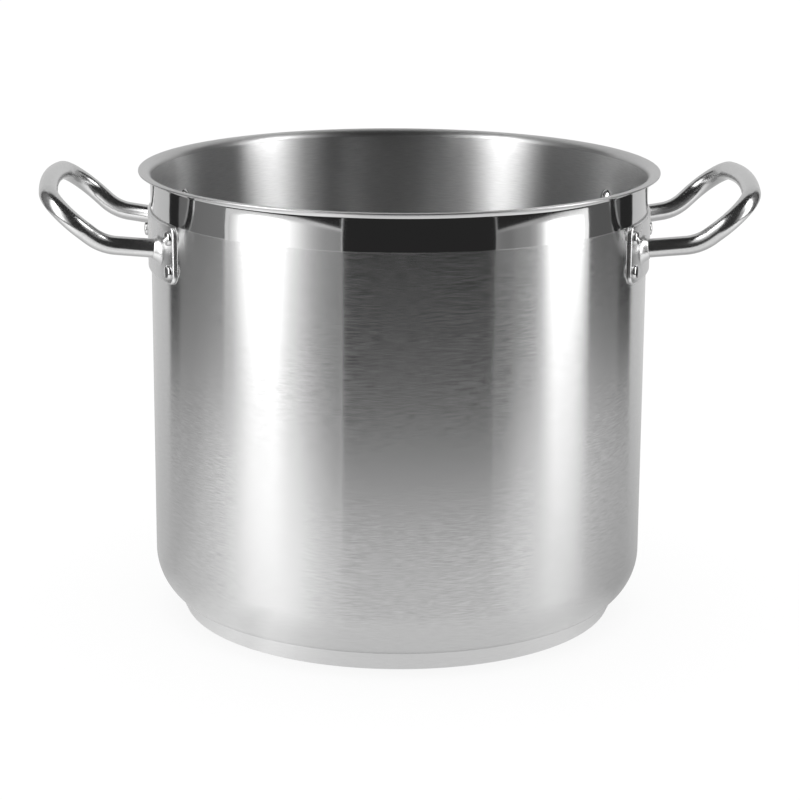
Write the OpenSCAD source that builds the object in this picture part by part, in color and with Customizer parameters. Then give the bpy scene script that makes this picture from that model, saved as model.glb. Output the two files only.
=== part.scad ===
// Deep stainless stock pot with a flat pouring rim, a capped sandwich base
// and two bent-tube handles, each held by a pressed bracket and five rivets.
// Millimetres, +Z up. The origin is the middle of the face the pot stands on,
// and +X runs out through the right-hand handle.

/* [Pot body] */
// Inside diameter of the pot
inner_d = 320; // [280:1:420]
// Height from the table to the top of the rim
pot_h = 293.7; // [220:0.1:420]
// Thickness of the drawn steel sheet
wall = 1; // [0.7:0.1:1.6]
// Outside radius of the corner between the wall and the floor
corner_r = 35; // [28:0.5:48]

/* [Rim] */
// Radius over the bend between the wall and the flat rim
lip_r = 5; // [3:0.1:7]
// How far the rim stands out past the inside of the wall
rim_out = 8.7; // [8:0.1:14]

/* [Sandwich base] */
// Thickness of the heat-spreading core under the flat floor
core_t = 5.2; // [3.5:0.1:8]
// Thickness of the steel cap over the core
cap_t = 0.8; // [0.5:0.1:1.4]
// Height above the floor's underside at which the cap's edge meets the body
cap_wrap = 7; // [4:0.1:10]
// Distance from the outside of the wall in to the edge of the standing face
foot_inset = 22.5; // [18:0.5:30]
// Radius of the edge round the standing face
cap_edge_r = 4; // [2:0.1:5.5]

/* [Handle tube] */
// Outside diameter of the handle tube
tube_d = 12; // [10:0.1:14]
// Wall thickness of the handle tube
tube_wall = 1.2; // [0.8:0.1:2]
// Distance between the two legs where they meet the pot wall
leg_pitch = 108.4; // [90:0.1:140]
// Angle at which each leg leans away from its twin
leg_splay = 11.7; // [0:0.1:16]
// Angle at which the legs climb as they leave the pot
leg_rise = 6.6; // [0:0.1:12]
// Straight length of a leg from the pot wall to the elbow
leg_straight = 28.3; // [20:0.1:40]
// Centreline radius of the elbow where the handle turns up
elbow_r = 31; // [20:0.5:40]
// Angle at which the handle climbs past the elbow
arm_rise = 39.2; // [25:0.1:60]
// Angle at which each arm leans away from its twin
arm_splay = 17; // [5:0.5:25]
// Straight length between the elbow and the corner of the grip
arm_straight = 6.1; // [2:0.1:15]
// Centreline radius of the corner between the arm and the grip
grip_corner_r = 25; // [18:0.5:30]
// Angle by which each half of the grip bows outward
grip_bow = 8.5; // [3:0.1:14]

/* [Bracket] */
// Distance from the crest of the rim down to the middle of the bracket
handle_drop = 43.7; // [36:0.1:60]
// Height of the handle legs above the middle of the bracket
leg_up = 0.5; // [-2:0.1:2]
// Thickness of the bracket plate
plate_t = 2; // [1.5:0.1:3]
// Radius of the corners of the plate
plate_corner_r = 6; // [3:0.1:9]
// Distance across the wall from a leg out to its column of rivets
rivet_out = 18.4; // [17:0.1:24]
// Width of plate beside a column of rivets
plate_edge = 5.5; // [5:0.1:9]
// Height of plate above and below the rows of rivets
plate_margin = 8; // [6:0.1:12]
// Height of the necks over the face of the plate
neck_h = 3.5; // [2:0.1:6]
// Wall thickness of a neck at its mouth
neck_wall = 0.8; // [0.5:0.1:1.5]
// Widening of a neck and of the tube's flared foot, per unit of depth
neck_slope = 0.6; // [0.4:0.05:0.8]
// Gap between the flared foot of the tube and the pot wall
foot_gap = 0.2; // [0.1:0.05:0.4]

/* [Rivets] */
// Diameter of the rivet shank
rivet_d = 5; // [4:0.1:6]
// Distance between the upper and lower rows of rivets
rivet_rows = 21.5; // [18:0.5:28]
// Height of the middle rivet above the middle of the bracket
middle_rivet_up = 3.5; // [-4:0.1:5]
// Diameter of the outer head
outer_head_d = 9.4; // [8:0.1:10]
// Height of the outer head over the plate
outer_head_h = 2.6; // [2:0.1:3.5]
// Radius of the shoulder of the outer head
outer_head_round = 1.6; // [0.8:0.1:2]
// Diameter of the domed head inside the pot
inner_head_d = 12.5; // [10:0.1:14]
// Height of the domed head over the inside of the wall
inner_head_h = 3.3; // [2:0.1:4.5]

/* [Hidden] */
// Facets in a full turn
$fn = 180;

// Radii of the pot wall and of the bracket's outer face
r_in = inner_d / 2;
r_out = r_in + wall;
r_plate = r_out + plate_t;

// Underside of the body's floor, and the radius where its corner begins
floor_z = cap_t + core_t;
corner_x = r_out - corner_r;
corner_z = floor_z + corner_r;

// Centre of the bend between the wall and the flat rim
lip_x = r_in + lip_r;
lip_z = pot_h - lip_r;

// Side of the cap, tangent to the edge round the foot and ending on the body
foot_edge = [r_out - foot_inset, cap_edge_r];
cap_top_x = corner_x + sqrt(pow(corner_r, 2) - pow(corner_r - cap_wrap, 2));
cap_top = [cap_top_x, floor_z + cap_wrap];
cap_reach = cap_top - foot_edge;
cap_tilt = atan2(cap_reach.y, cap_reach.x) - acos(cap_edge_r / norm(cap_reach));
cap_normal = [cos(cap_tilt), sin(cap_tilt)];

// Bracket plate and its rivets
handle_z = pot_h - handle_drop;
rivet_y = leg_pitch / 2 + rivet_out;
rivet_turn = asin(rivet_y / r_out);
plate_w = 2 * (rivet_y + plate_edge);
plate_h = rivet_rows + 2 * plate_margin;
neck_top = plate_t + neck_h;
neck_r = tube_d / 2 + neck_wall;
neck_root = 2 * plate_t;

// Sphere of the domed head
dome_r = (pow(inner_head_d / 2, 2) + pow(inner_head_h, 2)) / (2 * inner_head_h);

// Handle path: the foot of the front leg on the wall, and the directions of leg, arm and half grip
leg_foot = [sqrt(pow(r_out, 2) - pow(leg_pitch / 2, 2)), -leg_pitch / 2, handle_z + leg_up];
leg_way = climb(leg_rise, leg_splay);
arm_way = climb(arm_rise, arm_splay);
arm_out = unit([arm_way.x, 0, arm_way.z]);
grip_way = arm_out * sin(grip_bow) + [0, cos(grip_bow), 0];

// Corners of the front half of the path, set out so that each bend leaves its straight length
elbow_run = bend_run(leg_way, arm_way, elbow_r);
corner_run = bend_run(arm_way, grip_way, grip_corner_r);
elbow = leg_foot + leg_way * (leg_straight + elbow_run);
grip_corner = elbow + arm_way * (elbow_run + arm_straight + corner_run);
half_grip = -grip_corner.y / cos(grip_bow);
grip_mid = grip_corner + grip_way * half_grip;
grip_r = (half_grip - corner_run) / tan(grip_bow);

// The tube thickens a hair at its bends, and the straights run into them by a short lap
bend_swell = 0.02;
bend_lap = 0.3;

// Rivets of one bracket: name, side of the handle and row
RIVETS = [
    ["front_upper", -1, 1], ["front_lower", -1, -1], ["middle", 0, 0],
    ["rear_upper", 1, 1], ["rear_lower", 1, -1]
];

function unit(v) = v / norm(v);

// Same point on the rear half of the handle
function rear(p) = [p.x, -p.y, p.z];

// Direction of a tube on the front half that climbs and leans away from the rear half
function climb(rise, splay) = [cos(rise) * cos(splay), -cos(rise) * sin(splay), sin(rise)];

// Length of straight that a bend of radius r takes up on each side of its corner
function bend_run(from, to, r) = r * tan(acos(from * to) / 2);

module rounded_rectangle(w, h, r) {
    square([w - 2 * r, h], center = true);
    square([w, h - 2 * r], center = true);
    for (x = [-1, 1], y = [-1, 1])
        translate([x * (w / 2 - r), y * (h / 2 - r)])
            circle(r);
}

// Section of the drawn sheet: floor, corner, wall and flat rim
module body_section() {
    translate([0, floor_z])
        square([corner_x, wall]);
    translate([corner_x, corner_z])
        intersection() {
            difference() {
                circle(corner_r);
                circle(corner_r - wall);
            }
            translate([0, -corner_r])
                square(corner_r);
        }
    translate([r_in, corner_z])
        square([wall, lip_z - corner_z]);
    translate([lip_x, lip_z])
        intersection() {
            difference() {
                circle(lip_r);
                circle(lip_r - wall);
            }
            translate([-lip_r, 0])
                square(lip_r);
        }
    translate([lip_x, pot_h - wall])
        square([rim_out - lip_r, wall]);
}

// Everything inside the outer skin of the body's lower end
module body_outside() {
    translate([corner_x, corner_z])
        circle(corner_r);
    translate([0, floor_z])
        square([corner_x, 2 * corner_r]);
}

// Section of the base, drawn in from its outer skin by an inset
module base_section(inset) {
    edge = cap_edge_r - inset;
    side_top = cap_top - inset * cap_normal;
    polygon([
        [0, inset], [foot_edge.x, inset], foot_edge, foot_edge + edge * cap_normal,
        side_top, [0, side_top.y]
    ]);
    translate(foot_edge)
        circle(edge);
}

// Full-height cylinder about the pot's axis
module pot_cylinder(r) {
    cylinder(r = r, h = pot_h);
}

// Puts its children at a rivet of the right-hand bracket, with z outward from the pot's axis
module at_rivet(r) {
    lift = r[1] == 0 ? middle_rivet_up : r[2] * rivet_rows / 2;
    translate([0, 0, handle_z + lift])
        rotate([0, 90, r[1] * rivet_turn])
            children();
}

// Holes for all the rivets of one bracket, from the pot's axis outward
module rivet_holes() {
    for (r = RIVETS)
        at_rivet(r)
            cylinder(d = rivet_d, h = r_plate + outer_head_h);
}

// Puts its children at both legs of the right-hand handle, with z along the leg
module at_legs() {
    for (flip = [0, 1])
        mirror([0, flip, 0])
            translate(leg_foot)
                rotate([0, 90 - leg_rise, -leg_splay])
                    children();
}

// Cone about a leg, of radius r at height z and widening towards the pot
module leg_cone(r, z) {
    translate([0, 0, -neck_root])
        cylinder(r1 = r + neck_slope * (z + neck_root), r2 = r, h = z + neck_root);
}

// Ring of the tube's section, thickened on both faces by a swell
module tube_section(swell) {
    difference() {
        circle(tube_d / 2 + swell);
        circle(tube_d / 2 - tube_wall - swell);
    }
}

module straight_tube(start, finish) {
    way = finish - start;
    translate(start)
        rotate([0, acos(way.z / norm(way)), atan2(way.y, way.x)])
            linear_extrude(height = norm(way))
                tube_section(0);
}

// Bend of radius r round a corner, lengthened at both ends by a lap
module bent_tube(before, corner, after, r, swell, lap) {
    from = unit(corner - before);
    to = unit(after - corner);
    inward = unit(to - (to * from) * from);
    axis = cross(from, inward);
    centre = corner - from * bend_run(from, to, r) + inward * r;
    lap_turn = lap / r * 180 / PI;
    multmatrix([
        [-inward.x, from.x, axis.x, centre.x],
        [-inward.y, from.y, axis.y, centre.y],
        [-inward.z, from.z, axis.z, centre.z],
        [0, 0, 0, 1]
    ])
        rotate_extrude(angle = acos(from * to) + 2 * lap_turn, start = -lap_turn)
            translate([r, 0])
                tube_section(swell);
}

// Straight leg with its foot flared against the neck
module flared_leg() {
    foot_r = tube_d / 2 + neck_slope * (plate_t + neck_root);
    leg_end = leg_straight + bend_lap;
    rotate_extrude()
        polygon([
            [foot_r - tube_wall, -neck_root], [foot_r, -neck_root],
            [tube_d / 2, plate_t], [tube_d / 2, leg_end],
            [tube_d / 2 - tube_wall, leg_end], [tube_d / 2 - tube_wall, plate_t]
        ]);
}

// Elbow, arm and corner of the front half of the handle
module front_arm() {
    bent_tube(leg_foot, elbow, grip_corner, elbow_r, bend_swell, 0);
    straight_tube(
        elbow + arm_way * (elbow_run - bend_lap),
        grip_corner - arm_way * (corner_run - bend_lap)
    );
    bent_tube(elbow, grip_corner, grip_mid, grip_corner_r, bend_swell, 0);
}

// Drawn pot with its flat rim, pierced for the rivets, its turned section starting clear of them
module pot_body() {
    color("silver")
        difference() {
            rotate(90)
                rotate_extrude()
                    body_section();
            rivet_holes();
            mirror([1, 0, 0])
                rivet_holes();
        }
}

// Aluminium disc that fills the space between the cap and the pot
module base_core() {
    color("lightgray")
        rotate_extrude()
            difference() {
                base_section(cap_t);
                body_outside();
            }
}

// Steel cap pressed over the core, its edge wrapped up on to the pot's corner
module base_cap() {
    color("gainsboro")
        rotate_extrude()
            difference() {
                base_section(0);
                base_section(cap_t);
                body_outside();
            }
}

// Pressed plate curved to the pot, with a drawn neck for each leg of the handle
module right_bracket() {
    color("whitesmoke")
        difference() {
            union() {
                intersection() {
                    pot_cylinder(r_plate);
                    translate([0, 0, handle_z])
                        rotate([90, 0, 90])
                            linear_extrude(height = r_plate)
                                rounded_rectangle(plate_w, plate_h, plate_corner_r);
                }
                at_legs()
                    leg_cone(neck_r, neck_top);
            }
            pot_cylinder(r_out);
            rivet_holes();
            at_legs() {
                cylinder(d = tube_d, h = 2 * neck_top);
                leg_cone(tube_d / 2, plate_t);
            }
        }
}

// Bent tube whose two feet are flared and trapped between the bracket and the pot wall
module right_handle() {
    color("gainsboro")
        difference() {
            union() {
                at_legs()
                    flared_leg();
                front_arm();
                mirror([0, 1, 0])
                    front_arm();
                bent_tube(grip_corner, grip_mid, rear(grip_corner), grip_r, 0, bend_lap);
            }
            pot_cylinder(r_out + foot_gap);
        }
}

// Section of the flat-topped outer head, standing on the plate
module outer_head_section() {
    square([outer_head_d / 2 - outer_head_round, outer_head_h]);
    translate([0, -plate_t / 2])
        square([outer_head_d / 2, plate_t / 2 + outer_head_h - outer_head_round]);
    translate([outer_head_d / 2 - outer_head_round, outer_head_h - outer_head_round])
        intersection() {
            circle(outer_head_round);
            square(outer_head_round);
        }
}

// Solid rivet of the right-hand bracket, with both heads seated on the curved sheet
module rivet(r) {
    color("white") {
        difference() {
            at_rivet(r)
                translate([0, 0, r_plate])
                    rotate_extrude()
                        outer_head_section();
            pot_cylinder(r_plate);
        }
        intersection() {
            at_rivet(r)
                translate([0, 0, r_in + dome_r - inner_head_h])
                    sphere(dome_r);
            pot_cylinder(r_in);
        }
        at_rivet(r)
            translate([0, 0, r_in - inner_head_h / 2])
                cylinder(d = rivet_d, h = r_plate - r_in + (inner_head_h + outer_head_h) / 2);
    }
}

module left() {
    mirror([1, 0, 0])
        children();
}

pot_body();
base_core();
base_cap();
right_bracket();
left() right_bracket();  // left_bracket
right_handle();
left() right_handle();  // left_handle
for (r = RIVETS) {
    rivet(r);
    left() rivet(r);
}
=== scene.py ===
"""Looks of the stock pot: fine sheet, tube and rivet meshes, steel finishes and a studio."""

import logging
import math
from abc import ABC, abstractmethod
from dataclasses import dataclass, field
from enum import Enum, IntEnum
from typing import ClassVar

import bmesh
import bpy
import numpy as np
from mathutils import Matrix, Vector
from mathutils.geometry import delaunay_2d_cdt


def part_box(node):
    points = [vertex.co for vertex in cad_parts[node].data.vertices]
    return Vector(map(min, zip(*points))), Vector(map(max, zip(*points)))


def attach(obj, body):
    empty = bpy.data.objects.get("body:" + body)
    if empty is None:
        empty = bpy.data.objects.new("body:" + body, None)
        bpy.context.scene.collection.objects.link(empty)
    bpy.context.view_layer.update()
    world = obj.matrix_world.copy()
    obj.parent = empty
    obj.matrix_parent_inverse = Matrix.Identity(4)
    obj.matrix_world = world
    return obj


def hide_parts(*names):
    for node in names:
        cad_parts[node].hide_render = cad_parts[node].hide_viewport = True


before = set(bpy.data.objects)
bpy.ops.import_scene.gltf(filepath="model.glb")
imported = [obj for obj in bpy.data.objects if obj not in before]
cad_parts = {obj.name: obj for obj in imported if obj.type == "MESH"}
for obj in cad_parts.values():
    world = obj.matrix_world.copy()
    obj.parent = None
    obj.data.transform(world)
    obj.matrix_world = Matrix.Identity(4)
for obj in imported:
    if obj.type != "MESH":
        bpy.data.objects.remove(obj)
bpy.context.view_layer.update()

LOG = logging.getLogger("stock_pot")
MM = 0.001
BODY = "root"
IMAGE_PIXELS = 800
WHITE = (1.0, 1.0, 1.0, 1.0)
EAST, NORTH, UP = np.eye(3)
TO_REAR = np.array([1, -1, 1])

Pair = tuple[float, float]
Faces = list[list[int]]
Socket = bpy.types.NodeSocket


class Side(Enum):
    """Side of the pot that a handle and its bracket are on."""

    RIGHT = 1
    LEFT = -1

    @property
    def word(self) -> str:
        """Name of the side as the CAD nodes have it."""
        return self.name.lower()

    @property
    def mirror(self) -> np.ndarray:
        """Factors that carry points of the right-hand side to this side."""
        return np.array([self.value, 1, 1])


class Zone(IntEnum):
    """Finish zones of the drawn body, in the order of its material slots."""

    OUTSIDE = 0
    BAND = 1
    RIM = 2
    INSIDE = 3
    FLOOR = 4


def unit(vector: np.ndarray) -> np.ndarray:
    """Vector of length one along a vector."""
    return vector / np.linalg.norm(vector)


def arc(centre: Pair, radius: float, start: float, end: float, steps: int) -> list[Pair]:
    """Points along an arc of a section.

    Args:
        centre: Centre of the arc, as radius from the pot's axis and height.
        radius: Radius of the arc.
        start: Angle of the first point, in degrees from outward.
        end: Angle of the last point, in degrees.
        steps: Number of steps between the first point and the last.

    Returns:
        The points, as pairs of radius and height.
    """
    angles = np.radians(np.linspace(start, end, steps + 1))
    return [(centre[0] + radius * math.cos(a), centre[1] + radius * math.sin(a)) for a in angles]


def line(start: Pair, end: Pair, steps: int) -> list[Pair]:
    """Points along a straight stretch of a section, without its first point."""
    shares = np.linspace(0, 1, steps + 1)[1:]
    return [tuple(np.asarray(start) + t * (np.asarray(end) - np.asarray(start))) for t in shares]


def spokes(across: np.ndarray, up: np.ndarray, count: int) -> np.ndarray:
    """Evenly spaced unit vectors round a ring that lies along two directions."""
    angles = np.linspace(0, 2 * math.pi, count, endpoint=False)
    return np.outer(np.cos(angles), across) + np.outer(np.sin(angles), up)


def turned(section: list[Pair], around: int) -> np.ndarray:
    """Rings of a section turned about the Z axis, with a number of points in each."""
    ring = spokes(EAST, NORTH, around)
    return np.array([radius * ring + height * UP for radius, height in section])


def linked(name: str, data: bpy.types.ID) -> bpy.types.Object:
    """Makes an object.

    Args:
        name: Name of the object.
        data: Its mesh, lamp or camera.

    Returns:
        The object, linked to the scene.
    """
    obj = bpy.data.objects.new(name, data)
    bpy.context.scene.collection.objects.link(obj)
    return obj


class Skin:
    """Gathers grids of points into one welded mesh object."""

    WELD = 1e-7

    def __init__(self) -> None:
        """Starts an empty skin."""
        self.points: list[tuple[float, float, float]] = []
        self.faces: Faces = []
        self.zones: list[int] = []

    def add(self, points: np.ndarray, faces: Faces, zones: list[int] | None = None) -> None:
        """Adds points with the faces between them.

        Args:
            points: Array of points.
            faces: Lists of indices into the points.
            zones: Material slot of each face, all 0 if left out.
        """
        base = len(self.points)
        self.points.extend(map(tuple, np.asarray(points, float)))
        self.faces.extend([[base + i for i in face] for face in faces])
        self.zones.extend(zones or [0] * len(faces))

    def add_rings(self, rings: np.ndarray, zones: list[int] | None = None) -> None:
        """Adds a stack of closed rings.

        Args:
            rings: Array of rings by points by coordinates.
            zones: Material slot of each band between two rings, all 0 if left out.
        """
        count, around = rings.shape[:2]
        bands = zones or [0] * (count - 1)
        faces = []
        marks = []
        for i in range(count - 1):
            low, high = i * around, (i + 1) * around
            for j in range(around):
                k = (j + 1) % around
                faces.append([low + j, low + k, high + k, high + j])
                marks.append(bands[i])
        self.add(rings.reshape(-1, 3), faces, marks)

    def add_cap(self, ring: np.ndarray) -> None:
        """Closes a ring with one flat face."""
        self.add(ring, [list(range(len(ring)))])

    def build(self, name: str, weld: float = WELD) -> bpy.types.Object:
        """Makes the mesh object, smooth shaded, with its faces turned outward.

        Args:
            name: Name of the object and its mesh.
            weld: Distance under which points become one.

        Returns:
            The object, linked to the scene.
        """
        mesh = bpy.data.meshes.new(name)
        mesh.from_pydata(self.points, [], self.faces)
        mesh.polygons.foreach_set("material_index", self.zones)
        shape = bmesh.new()
        shape.from_mesh(mesh)
        bmesh.ops.remove_doubles(shape, verts=shape.verts, dist=weld)
        bmesh.ops.dissolve_degenerate(shape, edges=shape.edges, dist=weld)
        bmesh.ops.recalc_face_normals(shape, faces=shape.faces)
        for face in shape.faces:
            face.smooth = True
        shape.to_mesh(mesh)
        shape.free()
        return linked(name, mesh)


class NodeBoard:
    """Short way to lay out the nodes of a material or the world."""

    LOW = 0.3
    HIGH = 0.7

    def __init__(self, tree: bpy.types.NodeTree) -> None:
        """Takes a node tree and empties it."""
        self.tree = tree
        tree.nodes.clear()

    def node(self, kind: str, **settings: object) -> bpy.types.Node:
        """Adds a node.

        Args:
            kind: Type of the node, without the ShaderNode that each type starts with.
            settings: Properties to set on it.

        Returns:
            The node.
        """
        node = self.tree.nodes.new(f"ShaderNode{kind}")
        for key, value in settings.items():
            setattr(node, key, value)
        return node

    def feed(self, node: bpy.types.Node, **inputs: object) -> bpy.types.Node:
        """Fills inputs of a node.

        Args:
            node: The node to fill.
            inputs: Value or output socket for each input, where _ stands for a space and
                a name such as in0 for an input by number.

        Returns:
            The same node.
        """
        for key, value in inputs.items():
            numbered = key.startswith("in") and key[2:].isdigit()
            socket = node.inputs[int(key[2:])] if numbered else node.inputs[key.replace("_", " ")]
            if isinstance(value, Socket):
                self.tree.links.new(value, socket)
            else:
                socket.default_value = value
        return node

    def surface(self, shader: bpy.types.Node, output: str = "OutputMaterial") -> None:
        """Ends the board in a shader."""
        self.feed(self.node(output), Surface=shader.outputs[0])

    def math(self, operation: str, first: object, second: object) -> Socket:
        """Result of a Math node on two values or sockets."""
        node = self.node("Math", operation=operation)
        return self.feed(node, in0=first, in1=second).outputs[0]

    def between(self, value: Socket, low: float, high: float) -> Socket:
        """Spreads the usual range of a noise over a range from low to high."""
        node = self.feed(self.node("MapRange"), From_Min=self.LOW, From_Max=self.HIGH)
        return self.feed(node, Value=value, To_Min=low, To_Max=high).outputs[0]

    def noise(self, vector: Socket, scale: float, detail: float) -> Socket:
        """Grey noise over a vector."""
        node = self.node("TexNoise")
        return self.feed(node, Vector=vector, Scale=scale, Detail=detail).outputs["Fac"]

    def bump(self, height: Socket, depth: float) -> Socket:
        """Normal bent by a height from 0 to 1 over a depth in metres."""
        node = self.node("Bump")
        return self.feed(node, Height=height, Strength=1.0, Distance=depth).outputs["Normal"]

    def grey(self, value: Socket) -> Socket:
        """Neutral colour of a brightness."""
        node = self.node("CombineColor")
        return self.feed(node, Red=value, Green=value, Blue=value).outputs[0]

    def split(self, vector: Socket) -> bpy.types.bpy_prop_collection:
        """The X, Y and Z of a vector."""
        return self.feed(self.node("SeparateXYZ"), Vector=vector).outputs

    def joined(self, **parts: object) -> Socket:
        """Vector of an X, a Y and a Z."""
        return self.feed(self.node("CombineXYZ"), **parts).outputs[0]


def blank_material(name: str) -> tuple[bpy.types.Material, NodeBoard]:
    """Makes a material without nodes.

    Args:
        name: Name of the material.

    Returns:
        The material, and the board to lay its nodes out on.
    """
    material = bpy.data.materials.new(name)
    material.use_nodes = True
    return material, NodeBoard(material.node_tree)


@dataclass(frozen=True)
class Finish(ABC):
    """A metal finish whose tone, gloss and relief follow one pattern.

    Attributes:
        name: Name of the material.
        tone: Brightness of the metal, from 0 to 1.
        tone_spread: Variation of the tone.
        roughness: Roughness of the surface.
        roughness_spread: Variation of the roughness.
        relief: Depth of the pattern, in metres.
    """

    name: str
    tone: float
    tone_spread: float
    roughness: float
    roughness_spread: float
    relief: float

    @abstractmethod
    def pattern(self, board: NodeBoard, place: Socket) -> Socket:
        """Grey value of the pattern at a place in object coordinates."""

    def highlights(self, board: NodeBoard) -> dict[str, object]:
        """Shader inputs that shape the highlights, none for a finish that is the same all ways."""
        return {}

    def material(self) -> bpy.types.Material:
        """Makes the finish's material.

        Returns:
            The material, with its nodes laid out.
        """
        material, board = blank_material(self.name)
        pattern = self.pattern(board, board.node("TexCoord").outputs["Object"])
        tone, gloss = self.tone_spread, self.roughness_spread
        shade = board.between(pattern, self.tone - tone, self.tone + tone)
        rough = board.between(pattern, self.roughness + gloss, self.roughness - gloss)
        shader = board.node("BsdfPrincipled")
        board.feed(shader, Metallic=1.0, Base_Color=board.grey(shade), Roughness=rough)
        board.feed(shader, Normal=board.bump(pattern, self.relief), **self.highlights(board))
        board.surface(shader)
        return material


@dataclass(frozen=True)
class CloudyFinish(Finish):
    """A polished or rolled finish with a slight cloudiness.

    Attributes:
        cloud_size: Size of the cloudy patches, in metres.
    """

    cloud_size: float

    DETAIL: ClassVar[float] = 3.0

    def pattern(self, board: NodeBoard, place: Socket) -> Socket:
        """Soft patches."""
        return board.noise(place, 1 / self.cloud_size, self.DETAIL)


@dataclass(frozen=True)
class BrushedFinish(Finish):
    """Steel brushed in circles about the pot's axis, whose highlights stretch across the grain.

    Attributes:
        stretch: Share by which highlights stretch across the grain, from 0 to 1.
        grain_turns: Number of grain lengths in one turn about the axis, over two pi.
        grain_pitch: Spacing of the finest lines, in metres.
    """

    stretch: float
    grain_turns: float = 22
    grain_pitch: float = 0.45 * MM

    DETAIL: ClassVar[float] = 2.0
    QUARTER_TURN: ClassVar[float] = 0.25

    def pattern(self, board: NodeBoard, place: Socket) -> Socket:
        """Noise drawn out into lines round the pot's axis.

        Args:
            board: Node board of the material.
            place: Object coordinates.

        Returns:
            Grey value of the grain.
        """
        point = board.split(place)
        flat = board.joined(X=point["X"], Y=point["Y"], Z=0.0)
        reach = board.feed(board.node("VectorMath", operation="LENGTH"), in0=flat)
        way = board.feed(board.node("VectorMath", operation="NORMALIZE"), in0=flat)
        turn = board.split(way.outputs["Vector"])
        along = board.math("ADD", reach.outputs["Value"], point["Z"])
        vector = board.joined(
            X=board.math("MULTIPLY", turn["X"], self.grain_turns),
            Y=board.math("MULTIPLY", turn["Y"], self.grain_turns),
            Z=board.math("MULTIPLY", along, 1 / self.grain_pitch),
        )
        return board.noise(vector, 1.0, self.DETAIL)

    def highlights(self, board: NodeBoard) -> dict[str, object]:
        """Shader inputs that stretch the highlights across the grain."""
        tangent = board.node("Tangent", direction_type="RADIAL", axis="Z").outputs[0]
        return {"Anisotropic": self.stretch, "Anisotropic_Rotation": self.QUARTER_TURN, "Tangent": tangent}


BRUSHED_WALL = BrushedFinish("brushed_wall", 0.6, 0.014, 0.2, 0.045, 0.0006 * MM, stretch=1.0)
BRUSHED_INSIDE = BrushedFinish("brushed_inside", 0.71, 0.045, 0.33, 0.055, 0.0006 * MM, stretch=1.0)
BRUSHED_FLOOR = BrushedFinish("brushed_floor", 0.56, 0.03, 0.3, 0.02, 0.0012 * MM, stretch=0.9)
BRUSHED_CAP = BrushedFinish("brushed_cap", 0.67, 0.02, 0.36, 0.03, 0.0012 * MM, stretch=0.5)
SATIN_RIM = BrushedFinish("satin_rim", 0.57, 0.015, 0.38, 0.015, 0.0006 * MM, stretch=0.8)
POLISHED_BAND = CloudyFinish("polished_band", 0.58, 0.01, 0.06, 0.01, 0.003 * MM, cloud_size=0.05)
POLISHED_BRACKET = CloudyFinish("polished_bracket", 0.7, 0.015, 0.28, 0.02, 0.006 * MM, cloud_size=0.02)
POLISHED_TUBE = CloudyFinish("polished_tube", 0.62, 0.02, 0.22, 0.03, 0.008 * MM, cloud_size=0.0015)
POLISHED_RIVET = CloudyFinish("polished_rivet", 0.62, 0.02, 0.15, 0.03, 0.006 * MM, cloud_size=0.006)
ROLLED_ALUMINIUM = CloudyFinish("rolled_aluminium", 0.75, 0.03, 0.4, 0.05, 0.02 * MM, cloud_size=0.03)


def settle(obj: bpy.types.Object, node: str, finishes: list[Finish]) -> None:
    """Puts a piece in the place of a CAD node.

    Args:
        obj: The piece.
        node: CAD node that it stands for.
        finishes: Finishes of the piece's material slots, in order.
    """
    for finish in finishes:
        made = bpy.data.materials.get(finish.name) or finish.material()
        obj.data.materials.append(made)
    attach(obj, BODY)
    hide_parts(node)
    LOG.info("%s stands for %s, %d faces", obj.name, node, len(obj.data.polygons))


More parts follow.
